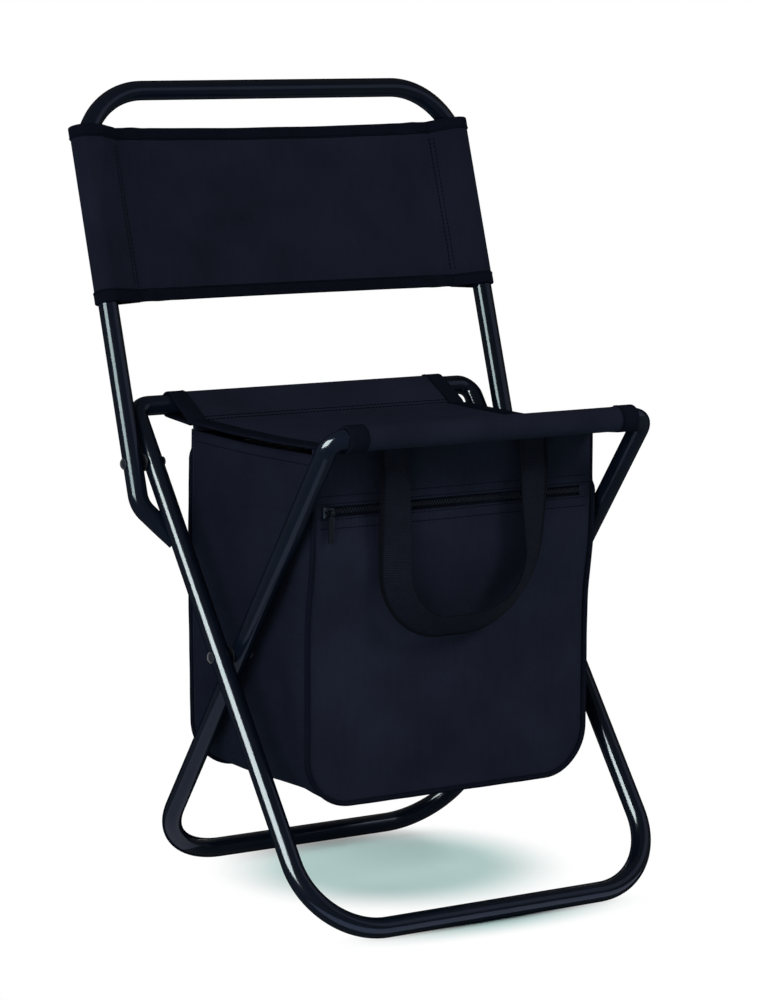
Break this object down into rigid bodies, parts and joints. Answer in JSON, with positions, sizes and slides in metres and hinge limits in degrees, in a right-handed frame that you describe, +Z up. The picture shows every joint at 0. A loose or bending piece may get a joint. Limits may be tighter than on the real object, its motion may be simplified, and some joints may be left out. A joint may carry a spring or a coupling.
{
  "type": "folding stool",
  "caption": "Folding tube stool with crossed legs, a hinged cloth backrest and an insulated zipped bag hung under the cloth seat.",
  "frame": {"origin": "on the floor, in the middle of the box round the open stool", "axes": "+Z up, -Y the way the sitter faces, +X to the right seen from the front"},
  "size_m": [0.3808, 0.3586, 0.6401],
  "materials": {
    "black_enamel": "gloss black powder coat on round steel tube",
    "plain_steel": "plain steel, hidden in the tubes",
    "dark_rivet": "blackened rivet with a bright rim",
    "nylon": "moulded black nylon",
    "polyester": "coarse navy polyester canvas",
    "binding": "ribbed black binding tape",
    "webbing": "ribbed dark webbing",
    "liner_film": "silver insulating film on foam",
    "zip_nylon": "dark nylon coil zip on woven tape",
    "zip_metal": "dark lacquered zip metal"
  },
  "bodies": {
    "outer_frame": {"outer_frame_tube": "black_enamel", "outer_frame_joiner": "plain_steel", "rear_sleeve": "polyester", "rear_sleeve_tape_left": "binding", "rear_sleeve_tape_right": "binding", "crossing_rivet_left": "dark_rivet", "crossing_rivet_right": "dark_rivet", "crossing_washer_left": "nylon", "crossing_washer_right": "nylon", "backrest_rivet_left": "dark_rivet", "backrest_rivet_right": "dark_rivet", "backrest_washer_left": "nylon", "backrest_washer_right": "nylon"},
    "inner_frame": {"inner_frame_tube": "black_enamel", "inner_frame_joiner": "plain_steel", "front_sleeve": "polyester", "front_sleeve_tape_left": "binding", "front_sleeve_tape_right": "binding"},
    "backrest": {"backrest_tube": "black_enamel", "backrest_cloth": "polyester", "backrest_tape_top": "binding", "backrest_tape_bottom": "binding"},
    "cooler": {"seat_sling": "polyester", "bag_front_lower": "polyester", "bag_front_upper": "polyester", "bag_back": "polyester", "bag_gusset": "polyester", "bag_liner": "liner_film", "front_piping": "binding", "rear_piping": "binding", "zip_tape_upper": "zip_nylon", "zip_tape_lower": "zip_nylon"},
    "handle": {"front_handle": "webbing"},
    "slider": {"zip_slider": "zip_metal"},
    "pull": {"zip_pull": "zip_metal"}
  },
  "joints": [
    {"name": "frame_fold", "type": "hinge", "parent": "outer_frame", "child": "inner_frame", "pos_m": [0, -0.02692, 0.19958], "axis": [-1, 0, 0], "range_deg": [0, 68], "deforming": ["rear_sleeve", "front_sleeve", "rear_sleeve_tape_left", "rear_sleeve_tape_right", "front_sleeve_tape_left", "front_sleeve_tape_right"]},
    {"name": "bag_follow", "type": "hinge", "parent": "outer_frame", "child": "cooler", "pos_m": [0, -0.02692, 0.19958], "axis": [-1, 0, 0], "range_deg": [0, 34]},
    {"name": "backrest_fold", "type": "hinge", "parent": "outer_frame", "child": "backrest", "pos_m": [0, 0.0793, 0.3405], "axis": [1, 0, 0], "range_deg": [0, 92]},
    {"name": "handle_swing", "type": "hinge", "parent": "cooler", "child": "handle", "pos_m": [0, -0.12792, 0.3692], "axis": [-1, 0, 0], "range_deg": [0, 80]},
    {"name": "zip_slide", "type": "slide", "parent": "cooler", "child": "slider", "axis": [1, 0, 0], "range_m": [0, 0.229]},
    {"name": "pull_flip", "type": "hinge", "parent": "slider", "child": "pull", "pos_m": [-0.116, -0.119, 0.32], "axis": [-1, 0, 0], "range_deg": [0, 150]}
  ],
  "couplings": [
    {"joint": "bag_follow", "follows": "frame_fold", "ratio": 0.5}
  ]
}
